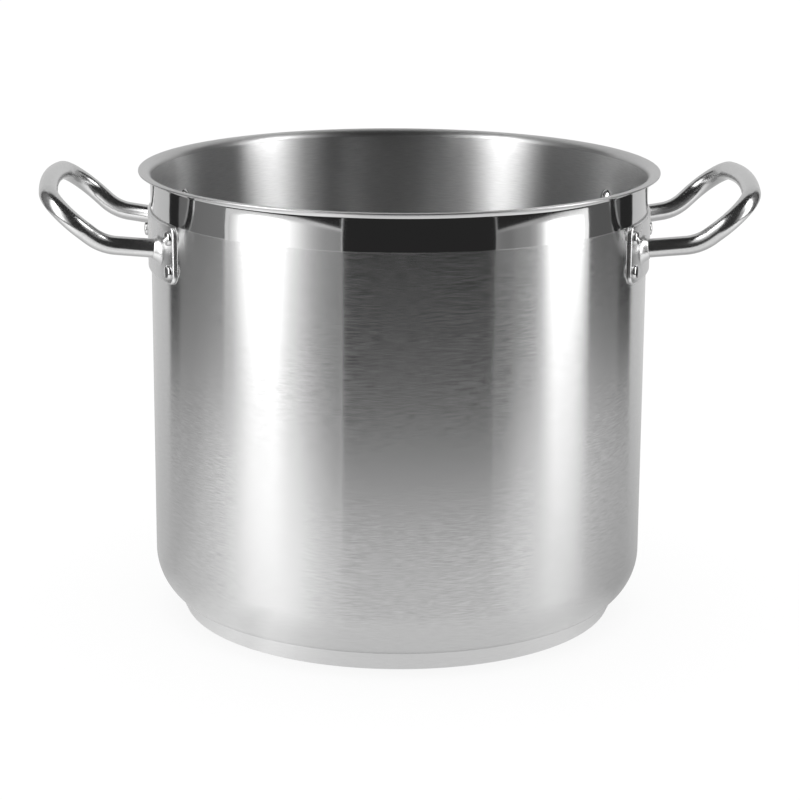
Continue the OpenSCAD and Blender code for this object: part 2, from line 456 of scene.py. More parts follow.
@dataclass
class PotBody:
    """The drawn pot: floor, corner, wall and flat pouring rim.

    Attributes:
        inner_radius: Radius inside the wall.
        wall: Thickness of the sheet.
        corner_radius: Outside radius between floor and wall.
        bend_radius: Radius over the bend between the wall and the flat rim.
        edge_round: Rounding of the rim's cut edge.
        flare_height: Height of the wall under the bend that leans out.
        flare_tilt: Degrees by which the wall leans out where the bend starts.
        flare_steps: Steps up the wall that leans out.
        band_drop: Depth of the polished band under the rim.
        band_step: Depth by which the brushing is ground in under the band.
        band_bevel: Height of the bevel at that step.
        ground_in: Depth under the band from which the brushing is ground in.
        crease: Height of the narrow strips that keep the bevel's edges crisp.
        around: Points in a ring.
        height: Height of the rim's top, taken from the frame.
        floor: Height of the floor's underside, taken from the frame.
        rim_radius: Radius over the rim, taken from the frame.
    """

    inner_radius: float = 160 * MM
    wall: float = 1 * MM
    corner_radius: float = 35 * MM
    bend_radius: float = 5 * MM
    edge_round: float = 0.3 * MM
    flare_height: float = 12 * MM
    flare_tilt: float = 4
    flare_steps: int = 16
    band_drop: float = 24.7 * MM
    band_step: float = 0.05 * MM
    band_bevel: float = 0.12 * MM
    ground_in: float = 4 * MM
    crease: float = 0.03 * MM
    around: int = 384
    height: float = field(init=False)
    floor: float = field(init=False)
    rim_radius: float = field(init=False)

    FINISHES: ClassVar[dict[Zone, Finish]] = {
        Zone.OUTSIDE: BRUSHED_WALL,
        Zone.BAND: POLISHED_BAND,
        Zone.RIM: SATIN_RIM,
        Zone.INSIDE: BRUSHED_INSIDE,
        Zone.FLOOR: BRUSHED_FLOOR,
    }

    def __post_init__(self) -> None:
        """Takes the pot's height, floor and rim from the frame."""
        low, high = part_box("pot_body")
        self.height = high.z
        self.floor = low.z
        self.rim_radius = min(high.x, high.y, -low.x, -low.y)

    @property
    def outer_radius(self) -> float:
        """Radius outside the wall."""
        return self.inner_radius + self.wall

    @property
    def flare_reach(self) -> float:
        """Distance by which the wall has leant out where the bend starts."""
        return self.flare_height * math.tan(math.radians(self.flare_tilt)) / 2

    @property
    def bend_centre(self) -> Pair:
        """Radius and height of the middle of the bend."""
        across = self.bend_radius * math.cos(math.radians(self.flare_tilt))
        return self.inner_radius + self.flare_reach + across, self.height - self.bend_radius

    @property
    def flare_foot(self) -> float:
        """Height at which the wall starts to lean out."""
        lift = self.bend_radius * math.sin(math.radians(self.flare_tilt))
        return self.bend_centre[1] + lift - self.flare_height

    def flared(self, offset: float) -> list[Pair]:
        """Wall that leans out more and more up to the bend.

        Args:
            offset: Distance of this face outward from the inner face.

        Returns:
            Points from the straight wall up to the bend, without the first.
        """
        lift = (self.bend_radius - offset) * math.sin(math.radians(self.flare_tilt))
        rise = self.bend_centre[1] + lift - self.flare_foot
        shares = np.linspace(0, 1, self.flare_steps + 1)[1:]
        face = self.inner_radius + offset
        return [(face + self.flare_reach * t * t, self.flare_foot + rise * t) for t in shares]

    def rim(self) -> list[Pair]:
        """Flat rim from the underside of the bend, round the cut edge and back to the top of the bend.

        Returns:
            Points as pairs of radius and height, without the first.
        """
        start = self.bend_centre[0]
        under = self.height - self.wall
        tip = self.rim_radius - self.edge_round
        return (
            line((start, under), (tip, under), steps=4)
            + arc((tip, under + self.edge_round), self.edge_round, -90, 0, steps=5)[1:]
            + arc((tip, self.height - self.edge_round), self.edge_round, 0, 90, steps=5)
            + line((tip, self.height), (start, self.height), steps=5)
        )

    def stretches(self) -> list[tuple[Zone, list[Pair]]]:
        """Section of the sheet from under the floor, up outside, over the rim and down inside.

        Returns:
            Zone and points of each stretch.
        """
        inner, outer = self.inner_radius, self.outer_radius
        corner = (outer - self.corner_radius, self.floor + self.corner_radius)
        hollow = self.corner_radius - self.wall
        bend = self.bend_centre
        under_bend = self.bend_radius - self.wall
        lean = 180 - self.flare_tilt
        ground = outer - self.band_step
        band = self.height - self.band_drop
        bevel = band - self.band_bevel
        crease = (outer, band + self.crease)
        foot = (inner, self.flare_foot)
        below = (0.0, self.floor)
        top = self.floor + self.wall
        return [
            (Zone.OUTSIDE, [below] + line(below, (corner[0], self.floor), steps=6)),
            (Zone.OUTSIDE, arc(corner, self.corner_radius, -90, 0, steps=40)[1:]),
            (Zone.OUTSIDE, line((outer, corner[1]), (outer, band - self.ground_in), steps=20)),
            (Zone.OUTSIDE, [(ground, bevel - self.crease), (ground, bevel)]),
            (Zone.BAND, [(outer, band), crease]),
            (Zone.BAND, line(crease, (outer, self.flare_foot), steps=4)),
            (Zone.BAND, self.flared(self.wall)),
            (Zone.BAND, arc(bend, under_bend, lean, 90, steps=20)[1:]),
            (Zone.RIM, self.rim()),
            (Zone.RIM, arc(bend, self.bend_radius, 90, lean, steps=24)[1:]),
            (Zone.INSIDE, self.flared(0.0)[-2::-1] + [foot]),
            (Zone.INSIDE, line(foot, (inner, corner[1]), steps=20)),
            (Zone.INSIDE, arc(corner, hollow, 0, -90, steps=40)[1:]),
            (Zone.FLOOR, line((corner[0], top), (0.0, top), steps=24)),
        ]

    def build(self) -> None:
        """Turns the section and dresses its zones."""
        stretches = self.stretches()
        points = [point for _, stretch in stretches for point in stretch]
        zones = [zone for zone, stretch in stretches for _ in stretch]
        skin = Skin()
        skin.add_rings(turned(points, self.around), zones[1:])
        finishes = [self.FINISHES[zone] for zone in Zone]
        settle(skin.build("drawn_body"), "pot_body", finishes)


@dataclass
class BaseCap:
    """The pressed cap over the sandwich base.

    Attributes:
        sheet: Thickness of the cap.
        standing_radius: Radius of the flat standing face.
        edge_radius: Radius of the edge round the standing face.
        lip_round: Rounding of the cap's upper edge.
        around: Points in a ring.
    """

    sheet: float = 0.8 * MM
    standing_radius: float = 138.5 * MM
    edge_radius: float = 4 * MM
    lip_round: float = 0.35 * MM
    around: int = 384

    def section(self) -> list[Pair]:
        """Section from the middle of the standing face, up the side and back down inside.

        Returns:
            The points.
        """
        low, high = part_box("base_cap")
        top = np.array([high.y, high.z])
        edge = np.array([self.standing_radius, low.z + self.edge_radius])
        reach = top - edge
        tilt = math.atan2(reach[1], reach[0]) - math.acos(self.edge_radius / np.linalg.norm(reach))
        out = np.array([math.cos(tilt), math.sin(tilt)])
        along = np.array([-out[1], out[0]])
        degrees = math.degrees(tilt)
        lip = top - (out + along) * self.lip_round
        inner_edge = self.edge_radius - self.sheet
        inside = low.z + self.sheet
        return (
            [(0.0, low.z)]
            + line((0.0, low.z), (edge[0], low.z), steps=8)
            + arc(tuple(edge), self.edge_radius, -90, degrees, steps=16)[1:]
            + arc(tuple(lip), self.lip_round, degrees, degrees + 180, steps=10)
            + arc(tuple(edge), inner_edge, degrees, -90, steps=12)
            + line((edge[0], inside), (0.0, inside), steps=8)
        )

    def build(self) -> None:
        """Turns the cap's section."""
        skin = Skin()
        skin.add_rings(turned(self.section(), self.around))
        settle(skin.build("pressed_cap"), "base_cap", [BRUSHED_CAP])


@dataclass
class HandleTube:
    """A bent-tube handle, its feet flared inside the bracket's necks.

    Attributes:
        side: Side of the pot.
        wall_radius: Radius outside the pot's wall.
        tube_radius: Outside radius of the tube.
        leg_pitch: Distance between the legs at the wall.
        leg_splay: Degrees by which a leg leans away from its twin.
        leg_rise: Degrees by which a leg climbs.
        leg_straight: Straight length of a leg.
        elbow_radius: Centreline radius of the elbow.
        arm_rise: Degrees by which the arm climbs past the elbow.
        arm_splay: Degrees by which an arm leans away from its twin.
        arm_straight: Straight length between elbow and grip corner.
        corner_radius: Centreline radius of the grip's corners.
        grip_bow: Degrees by which each half of the grip bows out.
        leg_up: Height of the legs above the middle of the bracket.
        foot_from_wall: Distance along the leg at which its foot ends.
        flare_end: Distance along the leg at which the foot's flare ends.
        flare_slope: Widening of the foot per unit of depth.
        around: Points in a ring.
        bend_step: Degrees between rings in a bend.
    """

    side: Side
    wall_radius: float
    tube_radius: float = 5.998 * MM
    leg_pitch: float = 108.4 * MM
    leg_splay: float = 11.7
    leg_rise: float = 6.6
    leg_straight: float = 28.3 * MM
    elbow_radius: float = 31 * MM
    arm_rise: float = 39.2
    arm_splay: float = 17
    arm_straight: float = 6.1 * MM
    corner_radius: float = 25 * MM
    grip_bow: float = 8.5
    leg_up: float = 0.5 * MM
    foot_from_wall: float = 1.4 * MM
    flare_end: float = 2 * MM
    flare_slope: float = 0.6
    around: int = 72
    bend_step: float = 1.5

    CLOSE: ClassVar[float] = 1e-6
    LEAST_STEPS: ClassVar[int] = 4

    @staticmethod
    def climb(rise: float, splay: float) -> np.ndarray:
        """Direction on the front half that climbs and leans away from the rear half.

        Args:
            rise: Degrees by which it climbs.
            splay: Degrees by which it leans away.

        Returns:
            The direction, of length one.
        """
        rise, splay = math.radians(rise), math.radians(splay)
        level = math.cos(rise)
        return np.array([level * math.cos(splay), -level * math.sin(splay), math.sin(rise)])

    @staticmethod
    def bend_run(before: np.ndarray, after: np.ndarray, radius: float) -> float:
        """Length of straight that a bend takes up on each side of its corner."""
        return radius * math.tan(math.acos(before @ after) / 2)

    def leg(self) -> tuple[np.ndarray, np.ndarray]:
        """Front leg on the right-hand side.

        Returns:
            Foot of the leg on the wall, and the leg's direction.
        """
        low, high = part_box("right_bracket")
        half = self.leg_pitch / 2
        height = (low.z + high.z) / 2 + self.leg_up
        foot = np.array([math.sqrt(self.wall_radius**2 - half**2), -half, height])
        return foot, self.climb(self.leg_rise, self.leg_splay)

    def corners(self) -> tuple[list[np.ndarray], list[float]]:
        """Corners of the whole path from the front foot to the rear one, on the right-hand side.

        Returns:
            The corners, and the bend radius at each corner between the feet.
        """
        foot, leg = self.leg()
        arm = self.climb(self.arm_rise, self.arm_splay)
        out = unit(arm * (EAST + UP))
        bow = math.radians(self.grip_bow)
        grip = out * math.sin(bow) + NORTH * math.cos(bow)
        elbow_run = self.bend_run(leg, arm, self.elbow_radius)
        corner_run = self.bend_run(arm, grip, self.corner_radius)
        elbow = foot + leg * (self.leg_straight + elbow_run)
        corner = elbow + arm * (elbow_run + self.arm_straight + corner_run)
        half_grip = -corner[1] / math.cos(bow)
        middle = corner + grip * half_grip
        grip_radius = (half_grip - corner_run) / math.tan(bow)
        front = [foot + leg * self.foot_from_wall, elbow, corner]
        path = front + [middle] + [point * TO_REAR for point in reversed(front)]
        bends = [self.elbow_radius, self.corner_radius]
        return path, bends + [grip_radius] + bends[::-1]

    def centreline(self) -> np.ndarray:
        """Path with its corners rounded.

        Returns:
            Array of points close together in the bends.
        """
        path, bends = self.corners()
        points = [path[0]]
        for before, corner, after, radius in zip(path, path[1:], path[2:], bends):
            into = unit(corner - before)
            away = unit(after - corner)
            angle = math.acos(into @ away)
            inward = unit(away - (away @ into) * into)
            centre = corner - into * self.bend_run(into, away, radius) + inward * radius
            steps = max(self.LEAST_STEPS, math.ceil(math.degrees(angle) / self.bend_step))
            turns = np.linspace(0, angle, steps + 1)
            points += [centre + radius * (into * math.sin(t) - inward * math.cos(t)) for t in turns]
        points.append(path[-1])
        run = np.array(points)
        apart = np.linalg.norm(np.diff(run, axis=0), axis=1) > self.CLOSE
        return run[np.append(True, apart)]

    def flared(self) -> tuple[np.ndarray, np.ndarray]:
        """Centreline from foot to foot, with the ends of the feet's flares added.

        Returns:
            The points, and the tube's radius at each.
        """
        points = self.centreline()
        depth = self.flare_end - self.foot_from_wall
        first, last = points[:1], points[-1:]
        front = first + unit(points[1] - points[0]) * depth
        rear = last + unit(points[-2] - points[-1]) * depth
        run = np.vstack([first, front, points[1:-1], rear, last])
        radius = np.full(len(run), self.tube_radius)
        radius[[0, -1]] += self.flare_slope * depth
        return run, radius

    def build(self) -> None:
        """Sweeps the tube along its centreline."""
        points, radius = self.flared()
        ways = np.gradient(points, axis=0)
        ways /= np.linalg.norm(ways, axis=1)[:, None]
        across = unit(np.cross(ways[0], UP))
        rings = []
        for point, way, size in zip(points, ways, radius):
            across = unit(across - (across @ way) * way)
            rings.append(point + size * spokes(across, np.cross(way, across), self.around))
        rings = np.array(rings) * self.side.mirror
        skin = Skin()
        skin.add_rings(rings)
        skin.add_cap(rings[0])
        skin.add_cap(rings[-1])
        word = self.side.word
        settle(skin.build(f"{word}_tube"), f"{word}_handle", [POLISHED_TUBE])


@dataclass
class Bracket:
    """A pressed plate curved to the pot, with a drawn neck round each leg of the handle.

    Attributes:
        handle: Handle whose legs the necks hold.
        plate: Thickness of the plate.
        corner_radius: Radius of the plate's corners.
        edge_round: Rounding of the plate's front edge.
        neck_height: Height of a neck's mouth over the wall, along the leg.
        neck_wall: Thickness of a neck at its mouth.
        neck_slope: Widening of a neck per unit of depth.
        neck_blend: Depth over which a neck melts into the plate.
        neck_reach: Radius round a leg within which the plate is drawn up.
        grid: Spacing of points over the plate.
        around: Points in a ring of a neck.
        middle: Height of the plate's middle, taken from the frame.
        half_size: Half of the plate's width and of its height, taken from the frame.
    """

    handle: HandleTube
    plate: float = 2 * MM
    corner_radius: float = 6 * MM
    edge_round: float = 0.9 * MM
    neck_height: float = 5.5 * MM
    neck_wall: float = 0.8 * MM
    neck_slope: float = 0.6
    neck_blend: float = 2.6 * MM
    neck_reach: float = 12.5 * MM
    grid: float = 2 * MM
    around: int = 96
    middle: float = field(init=False)
    half_size: np.ndarray = field(init=False)

    WELD: ClassVar[float] = 2e-6
    SAME: ClassVar[float] = 1e-6
    FACING: ClassVar[float] = 0.98
    LEAST_STEPS: ClassVar[int] = 2
    INSIDE_ONLY: ClassVar[int] = 1
    CROSSING: ClassVar[float] = 1e-9

    def __post_init__(self) -> None:
        """Takes the plate's outline from the frame."""
        low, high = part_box(f"{self.handle.side.word}_bracket")
        self.middle = (low.z + high.z) / 2
        self.half_size = np.array([(high.y - low.y) / 2, (high.z - low.z) / 2])

    def outline(self, inset: float) -> np.ndarray:
        """Outline of the plate seen from the front.

        Args:
            inset: Distance by which the outline is drawn in.

        Returns:
            Points as pairs of y and z, the same number for every inset.
        """
        wide, tall = self.half_size - self.corner_radius
        radius = self.corner_radius - inset
        corners = [(wide, tall), (-wide, tall), (-wide, -tall), (wide, -tall)]
        points = []
        for i, corner in enumerate(corners):
            start, end = 90 * i, 90 * i + 90
            turn = arc(corner, radius, start, end, steps=8)
            reach = arc(corners[(i + 1) % len(corners)], radius, end, end, steps=0)[0]
            steps = max(self.LEAST_STEPS, round(math.dist(turn[-1], reach) / self.grid))
            points += turn + line(turn[-1], reach, steps)[:-1]
        return np.array(points) + [0, self.middle]

    def on_wall(self, flat: np.ndarray, lift: float) -> np.ndarray:
        """Carries pairs of y and z back on to a cylinder that lies a lift over the pot's wall."""
        radius = self.handle.wall_radius + lift
        return np.column_stack([np.sqrt(radius**2 - flat[:, 0] ** 2), flat])

    def depth_on(self, points: np.ndarray, way: np.ndarray, lift: float) -> np.ndarray:
        """Finds how far a cylinder over the pot's wall is from points along a direction.

        Args:
            points: Array of points.
            way: The direction.
            lift: Height of the cylinder over the wall.

        Returns:
            The distance from each point.
        """
        radius = self.handle.wall_radius + lift
        a = way[0] ** 2 + way[1] ** 2
        b = points[..., 0] * way[0] + points[..., 1] * way[1]
        c = points[..., 0] ** 2 + points[..., 1] ** 2 - radius**2
        return (-b + np.sqrt(b**2 - a * c)) / a

    def neck(self) -> np.ndarray:
        """Front neck, from the back of the plate up inside, over the mouth and down to the plate.

        Returns:
            Array of rings by points by coordinates.
        """
        foot, way = self.handle.leg()
        bore = self.handle.tube_radius
        across = unit(np.cross(way, UP))
        ring = spokes(across, np.cross(across, way), self.around)
        half_lip = self.neck_wall / 2
        mouth = (bore + half_lip, self.neck_height - half_lip)
        flank = math.degrees(math.atan(self.neck_slope))
        lip = arc(mouth, half_lip, 180, flank, steps=8)
        back = foot + ring * (bore + self.neck_slope * self.plate)
        rings = [back + np.outer(self.depth_on(back, way, 0.0), way)]
        for radius, height in [(bore, self.plate)] + lip:
            rings.append(foot + ring * radius + height * way)
        start, top = lip[-1]
        for radius in np.linspace(start, self.neck_reach, num=34)[1:]:
            spread = foot + ring * radius
            plate = self.depth_on(spread, way, self.plate)
            cone = top - (radius - start) / self.neck_slope
            near = np.clip(1 - np.abs(cone - plate) / self.neck_blend, 0, 1)
            height = np.maximum(cone, plate) + near**2 * self.neck_blend / 4
            rings.append(spread + np.outer(height, way))
        return np.array(rings)

    def edge(self) -> np.ndarray:
        """Edge of the plate, from its back up the side and over the rounding to the front face.

        Returns:
            Array of rings by points by coordinates.
        """
        rings = [self.on_wall(self.outline(0.0), 0.0)]
        for turn in np.radians(np.linspace(90, 0, num=7)):
            inset = self.edge_round * (1 - math.sin(turn))
            lift = self.plate - self.edge_round * (1 - math.cos(turn))
            rings.append(self.on_wall(self.outline(inset), lift))
        return np.array(rings)

    def spread(self, centres: list[np.ndarray], reach: float) -> np.ndarray:
        """Grid of points over the plate, clear of its edge and its necks.

        Args:
            centres: Middle of each neck.
            reach: Radius of a neck.

        Returns:
            Points as pairs of y and z.
        """
        margin = self.grid / 2
        wide, tall = self.half_size
        ys = np.arange(-wide, wide, self.grid)
        zs = np.arange(self.middle - tall, self.middle + tall, self.grid)
        points = np.array([(y, z) for y in ys for z in zs])
        off = np.abs(points - [0, self.middle])
        inset = off < self.half_size - self.edge_round - margin
        corner = np.maximum(off - (self.half_size - self.corner_radius), 0)
        rounded = np.linalg.norm(corner, axis=1) < self.corner_radius - self.edge_round - margin
        clear = np.all([np.linalg.norm(points - c, axis=1) > reach + margin for c in centres], axis=0)
        return points[inset.all(axis=1) & rounded & clear]

    def face(self, loops: list[np.ndarray], centres: list[np.ndarray]) -> tuple[np.ndarray, Faces]:
        """Triangles over the plate between its outline and the necks.

        Args:
            loops: Outline and neck rings, as pairs of y and z.
            centres: Middle of each neck.

        Returns:
            Points as pairs of y and z, and triangles.
        """
        reach = max(np.linalg.norm(loops[1] - centres[0], axis=1))
        points = np.vstack(loops + [self.spread(centres, reach)])
        edges = []
        base = 0
        for loop in loops:
            count = len(loop)
            edges += [(base + i, base + (i + 1) % count) for i in range(count)]
            base += count
        found = delaunay_2d_cdt([Vector(p) for p in points], edges, [], self.INSIDE_ONLY, self.CROSSING)
        flat = np.array([tuple(v) for v in found[0]])
        triangles = []
        for triangle in map(list, found[2]):
            middle = flat[triangle].mean(axis=0)
            if not any(self.holds(ring, middle) for ring in loops[1:]):
                triangles.append(triangle)
        return flat, triangles

    @staticmethod
    def holds(ring: np.ndarray, point: np.ndarray) -> bool:
        """Tells whether a ring runs round a point.

        Args:
            ring: Points of the ring, as pairs of y and z.
            point: The point's y and z.

        Returns:
            True where the ring runs round the point.
        """
        step = np.arctan2(ring[:, 1] - point[1], ring[:, 0] - point[0])
        turn = np.diff(np.append(step, step[0]))
        return abs(np.sum((turn + math.pi) % (2 * math.pi) - math.pi)) > math.pi

    def build(self) -> None:
        """Makes the plate with its necks and sets the true normals of its curved face."""
        side = self.handle.side
        front = self.neck()
        necks = [front, front * TO_REAR]
        centres = [neck[-1][:, 1:].mean(axis=0) for neck in necks]
        skin = Skin()
        for rings in necks + [self.edge()]:
            skin.add_rings(rings * side.mirror)
        for ring, inset, lift in ((-1, self.edge_round, self.plate), (0, 0.0, 0.0)):
            loops = [self.outline(inset)] + [neck[ring][:, 1:] for neck in necks]
            flat, triangles = self.face(loops, centres)
            skin.add(self.on_wall(flat, lift) * side.mirror, triangles)
        obj = skin.build(f"{side.word}_pressing", weld=self.WELD)
        self.true_normals(obj.data)
        settle(obj, f"{side.word}_bracket", [POLISHED_BRACKET])

    def true_normals(self, mesh: bpy.types.Mesh) -> None:
        """Gives the points on the plate's curved face the cylinder's own normal.

        Args:
            mesh: The bracket's mesh.
        """
        radius = self.handle.wall_radius + self.plate
        normals = []
        for vertex, mean in zip(mesh.vertices, mesh.vertex_normals):
            flat = Vector((vertex.co.x, vertex.co.y, 0))
            out = flat.normalized()
            on_face = abs(flat.length - radius) < self.SAME and mean.vector.dot(out) > self.FACING
            normals.append(out if on_face else mean.vector)
        mesh.normals_split_custom_set_from_vertices(normals)


@dataclass
class Rivet:
    """A solid rivet with a flat-topped outer head and a domed head inside the pot.

    Attributes:
        node: CAD node of the rivet.
        body: The pot that it goes through.
        plate: Thickness of the bracket's plate.
        shank_radius: Radius of the shank.
        head_radius: Radius of the outer head.
        head_height: Height of the outer head.
        head_round: Rounding of the outer head's shoulder.
        crown: Rise of the outer head's top towards its middle.
        dome_radius: Radius of the inner head.
        dome_height: Height of the inner head.
        seat: Depth by which the heads reach past the faces that they sit on.
        around: Points in a ring.
    """

    node: str
    body: PotBody
    plate: float
    shank_radius: float = 2.5 * MM
    head_radius: float = 4.7 * MM
    head_height: float = 2.6 * MM
    head_round: float = 1.6 * MM
    crown: float = 0.25 * MM
    dome_radius: float = 6.25 * MM
    dome_height: float = 3.3 * MM
    seat: float = 0.1 * MM
    around: int = 64

    def section(self) -> list[Pair]:
        """Section along the rivet, with heights counted from the inside of the pot's wall.

        Returns:
            Points as pairs of radius and height.
        """
        face = self.body.wall + self.plate
        shoulder = self.head_radius - self.head_round
        side = face + self.head_height - self.crown - self.head_round
        top = [
            (r, side + self.head_round + self.crown * (1 - (r / shoulder) ** 2))
            for r in np.linspace(0, shoulder, num=8)
        ]
        sphere = (self.dome_radius**2 + self.dome_height**2) / (2 * self.dome_height)
        spread = math.degrees(math.asin(self.dome_radius / sphere))
        return (
            top
            + arc((shoulder, side), self.head_round, 90, 0, steps=10)[1:]
            + [(self.head_radius, face - self.seat), (self.shank_radius, face - self.seat)]
            + [(self.shank_radius, self.seat), (self.dome_radius, self.seat)]
            + arc((0.0, sphere - self.dome_height), sphere, spread - 90, -90, steps=14)
        )

    def build(self) -> None:
        """Turns the rivet and stands it on the pot where its node is."""
        low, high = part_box(self.node)
        middle = (low + high) / 2
        bearing = math.atan2(middle.y, middle.x)
        stand = (
            Matrix.Rotation(bearing, 4, "Z")
            @ Matrix.Translation((self.body.outer_radius - self.body.wall, 0, middle.z))
            @ Matrix.Rotation(math.pi / 2, 4, "Y")
        )
        skin = Skin()
        skin.add_rings(turned(self.section(), self.around))
        obj = skin.build(f"{self.node}_solid")
        obj.data.transform(stand)
        settle(obj, self.node, [POLISHED_RIVET])


@dataclass
class PhotoCamera:
    """The camera, set where the photograph was taken from.

    Attributes:
        place: Position in the pot's frame.
        heading: Degrees from +Y towards +X.
        pitch: Degrees below level.
        roll: Degrees of turn about the line of sight.
        focal_pixels: Focal length in pixels of the image.
        sensor: Width of the sensor, in millimetres.
    """

    place: tuple[float, float, float] = (-50.7 * MM, -1664.2 * MM, 568.6 * MM)
    heading: float = 1.79
    pitch: float = 14.51
    roll: float = 0.34
    focal_pixels: float = 2592.6
    sensor: float = 36.0

    def build(self) -> None:
        """Makes the camera the scene's own."""
        data = bpy.data.cameras.new("photo_camera")
        data.sensor_fit = "HORIZONTAL"
        data.sensor_width = self.sensor
        data.lens = self.focal_pixels * self.sensor / IMAGE_PIXELS
        camera = linked("photo_camera", data)
        camera.matrix_world = (
            Matrix.Translation(self.place)
            @ Matrix.Rotation(math.radians(-self.heading), 4, "Z")
            @ Matrix.Rotation(math.radians(90 - self.pitch), 4, "X")
            @ Matrix.Rotation(math.radians(self.roll), 4, "Z")
        )
        bpy.context.scene.camera = camera


def stage_glow(name: str, mesh: bpy.types.Mesh, material: bpy.types.Material) -> None:
    """Adds a glowing piece of the stage that shows in the steel but not to the camera.

    Args:
        name: Name of the piece.
        mesh: Its mesh.
        material: Its material.
    """
    mesh.materials.append(material)
    obj = linked(name, mesh)
    obj.visible_camera = False
    obj.visible_diffuse = False
    obj.visible_shadow = False


@dataclass
class Panel:
    """An upright panel of light or cloth round the pot, seen in the steel but not by the camera.

    Attributes:
        name: Name of the panel.
        rear: Plan position of its rear edge.
        front: Plan position of its front edge.
        bottom: Heights of its lower edge, at the rear and at the front.
        top: Height of its upper edge.
        glow: Share of the way from the rear edge to the front one, and strength there. A single
            entry is the strength of the whole panel.
        boost: Factor by which a panel with more than one entry is stronger in its upper part.
    """

    name: str
    rear: Pair
    front: Pair
    bottom: Pair
    top: float
    glow: list[Pair]
    boost: float = 1.0

    def material(self) -> bpy.types.Material:
        """Light that rises and falls along the panel.

        Returns:
            The material.
        """
        material, board = blank_material(self.name)
        strength = self.fall(board) if len(self.glow) > 1 else self.glow[0][1]
        board.surface(board.feed(board.node("Emission"), Strength=strength))
        return material

    def fall(self, board: NodeBoard) -> Socket:
        """Strength along the panel.

        Args:
            board: Node board of the material.

        Returns:
            Output with the strength.
        """
        share = board.split(board.node("TexCoord").outputs["UV"])
        curve = board.node("FloatCurve")
        peak = max(strength for _, strength in self.glow)
        points = curve.mapping.curves[0].points
        while len(points) < len(self.glow):
            points.new(0.5, 0.5)
        for point, (along, strength) in zip(points, self.glow):
            point.location = (along, strength / peak)
            point.handle_type = "VECTOR"
        curve.mapping.update()
        board.feed(curve, Value=share["X"])
        level = board.between(share["Y"], peak, peak * self.boost)
        return board.math("MULTIPLY", curve.outputs[0], level)

    def build(self) -> None:
        """Stands the panel beside the pot."""
        corners = [
            (*self.rear, self.bottom[0]),
            (*self.front, self.bottom[1]),
            (*self.front, self.top),
            (*self.rear, self.top),
        ]
        mesh = bpy.data.meshes.new(self.name)
        mesh.from_pydata(corners, [], [(0, 1, 2, 3)])
        spread = mesh.uv_layers.new(name="along")
        for loop, place in zip(spread.data, [(0, 0), (1, 0), (1, 1), (0, 1)]):
            loop.uv = place
        stage_glow(self.name, mesh, self.material())


@dataclass
class TableTop:
    """White table top under the pot, seen in the steel but not by the camera; its glow is painted light
    and painted shade.

    Attributes:
        marks: Bearing from +X in degrees, reach of the table there and its brightness at the
        pot's foot and at the table's edge, all the way round. Low brightness at the foot is painted
        shadow of the pot; the peaks are painted pools of softbox light.
        foot: Radius of the ring round the pot's foot.
        lift: Height over the floor.
        steps: Number of points in a ring.
    """

    marks: list[tuple[float, float, float, float]]
    foot: float = 0.2
    lift: float = 0.1 * MM
    steps: int = 180

    NAME: ClassVar[str] = "table_top"
    GLOW: ClassVar[str] = "glow"

    def mesh(self) -> bpy.types.Mesh:
        """Disc of two rings that holds the painted light and painted shade at each point.

        Returns:
            The mesh.
        """
        turns = np.linspace(-180, 180, self.steps, endpoint=False)
        bearings, *levels = np.array(sorted(self.marks)).T
        reach, near, far = (np.interp(turns, bearings, level, period=360) for level in levels)
        angles = np.radians(turns)
        ways = np.column_stack([np.cos(angles), np.sin(angles), np.zeros(self.steps)])
        points = np.vstack([[[0.0, 0.0, 0.0]], ways * self.foot, ways * reach[:, None]])
        faces = []
        for i in range(self.steps):
            here, after = 1 + i, 1 + (i + 1) % self.steps
            faces.append((0, here, after))
            faces.append((here, here + self.steps, after + self.steps, after))
        mesh = bpy.data.meshes.new(self.NAME)
        mesh.from_pydata((points + [0.0, 0.0, self.lift]).tolist(), [], faces)
        glow = mesh.attributes.new(self.GLOW, "FLOAT", "POINT")
        # near darkens the pot's foot as painted shadow of the pot, and far brightens the edge as painted
        # pools of softbox light.
        glow.data.foreach_set("value", np.concatenate([[near.mean()], near, far]))
        return mesh

    def build(self) -> None:
        """Lays the table top under the pot."""
        material, board = blank_material(self.NAME)
        glow = board.node("Attribute", attribute_name=self.GLOW).outputs["Fac"]
        board.surface(board.feed(board.node("Emission"), Strength=glow))
        stage_glow(self.NAME, self.mesh(), material)


